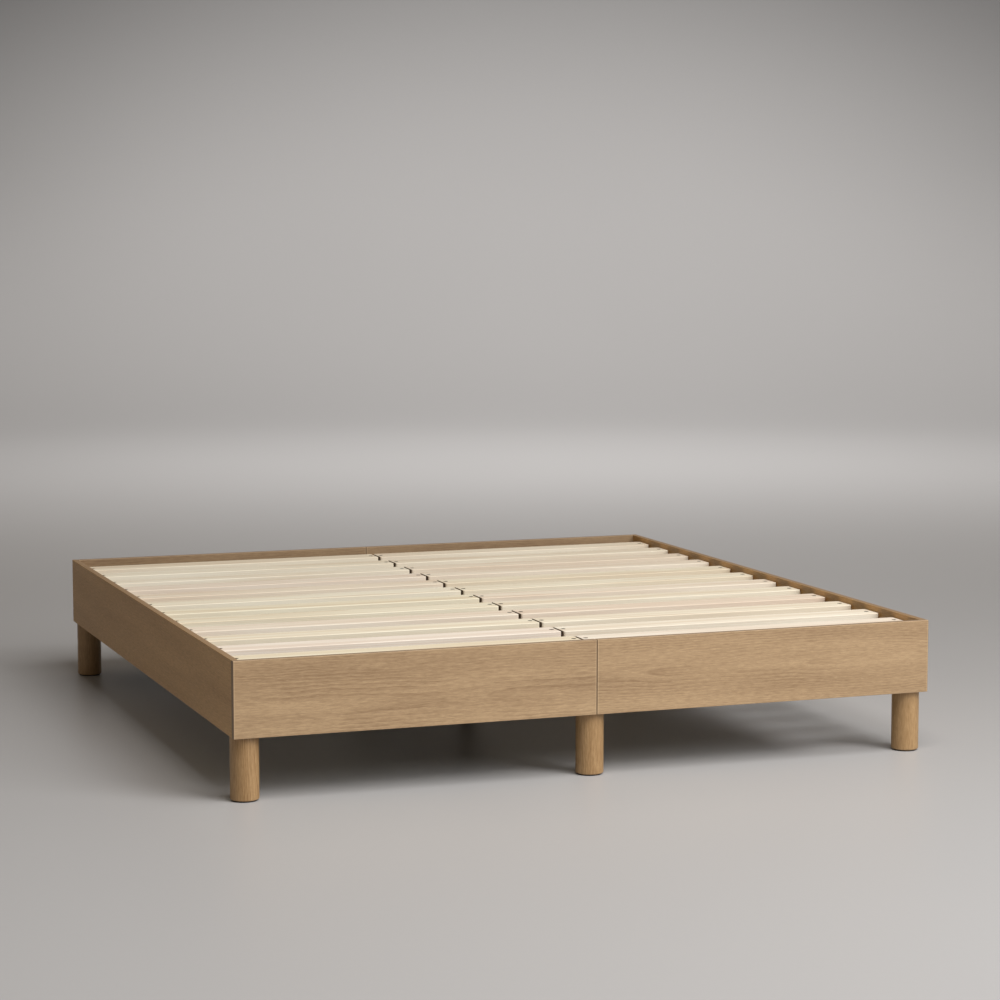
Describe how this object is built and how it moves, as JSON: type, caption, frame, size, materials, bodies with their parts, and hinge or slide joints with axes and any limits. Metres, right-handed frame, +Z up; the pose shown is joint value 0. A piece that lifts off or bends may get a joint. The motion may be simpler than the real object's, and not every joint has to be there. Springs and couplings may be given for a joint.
{
  "type": "platform bed frame",
  "caption": "Low wooden platform bed frame for a king mattress: oak-veneered box rim with a centre seam, two columns of slats and round turned legs.",
  "frame": {"origin": "on the floor, under the middle of the bed", "axes": "+Z up, +Y along the bed towards the head end, +X to the right as seen from the foot end"},
  "size_m": [1.97, 2.072, 0.368],
  "materials": {
    "oak_veneer": "satin clear lacquer over light oak veneer",
    "turned_oak": "satin clear lacquer over solid oak",
    "pine_slat": "planed, unfinished pale softwood",
    "frame_timber": "planed softwood, stained dark brown",
    "bronze_steel": "dark bronze plating",
    "zinc_steel": "zinc plated",
    "black_steel": "black powder coat",
    "black_nylon": "matt"
  },
  "bodies": {
    "bed_frame": {"bracket_screws": "zinc_steel", "centre_leg": "turned_oak", "centre_leg_plate": "black_steel", "centre_rail_left": "frame_timber", "centre_rail_right": "frame_timber", "corner_block_back_left": "frame_timber", "corner_block_back_right": "frame_timber", "corner_block_front_left": "frame_timber", "corner_block_front_right": "frame_timber", "foot_panel_left": "oak_veneer", "foot_panel_right": "oak_veneer", "head_panel_left": "oak_veneer", "head_panel_right": "oak_veneer", "ledge_screws": "zinc_steel", "leg_back_left": "turned_oak", "leg_back_middle": "turned_oak", "leg_back_right": "turned_oak", "leg_bolts": "zinc_steel", "leg_front_left": "turned_oak", "leg_front_middle": "turned_oak", "leg_front_right": "turned_oak", "leg_glides": "black_nylon", "panel_bolts": "zinc_steel", "rail_bolts": "zinc_steel", "rail_brackets": "black_steel", "rail_nuts": "zinc_steel", "seam_block_foot": "frame_timber", "seam_block_head": "frame_timber", "side_rail_left": "oak_veneer", "side_rail_right": "oak_veneer", "slat_ledge_left": "frame_timber", "slat_ledge_right": "frame_timber", "slat_left_01": "pine_slat", "slat_left_02": "pine_slat", "slat_left_03": "pine_slat", "slat_left_04": "pine_slat", "slat_left_05": "pine_slat", "slat_left_06": "pine_slat", "slat_left_07": "pine_slat", "slat_left_08": "pine_slat", "slat_left_09": "pine_slat", "slat_left_10": "pine_slat", "slat_left_11": "pine_slat", "slat_left_12": "pine_slat", "slat_right_01": "pine_slat", "slat_right_02": "pine_slat", "slat_right_03": "pine_slat", "slat_right_04": "pine_slat", "slat_right_05": "pine_slat", "slat_right_06": "pine_slat", "slat_right_07": "pine_slat", "slat_right_08": "pine_slat", "slat_right_09": "pine_slat", "slat_right_10": "pine_slat", "slat_right_11": "pine_slat", "slat_right_12": "pine_slat", "slat_screws": "bronze_steel", "threaded_inserts": "zinc_steel"},
    "levelling_foot": {"level_foot_stem": "zinc_steel", "level_foot_pad": "black_nylon"}
  },
  "joints": [
    {"name": "level_foot_travel", "type": "slide", "parent": "bed_frame", "child": "levelling_foot", "axis": [0, 0, -1], "range_m": [-0.009, 0.012]}
  ]
}
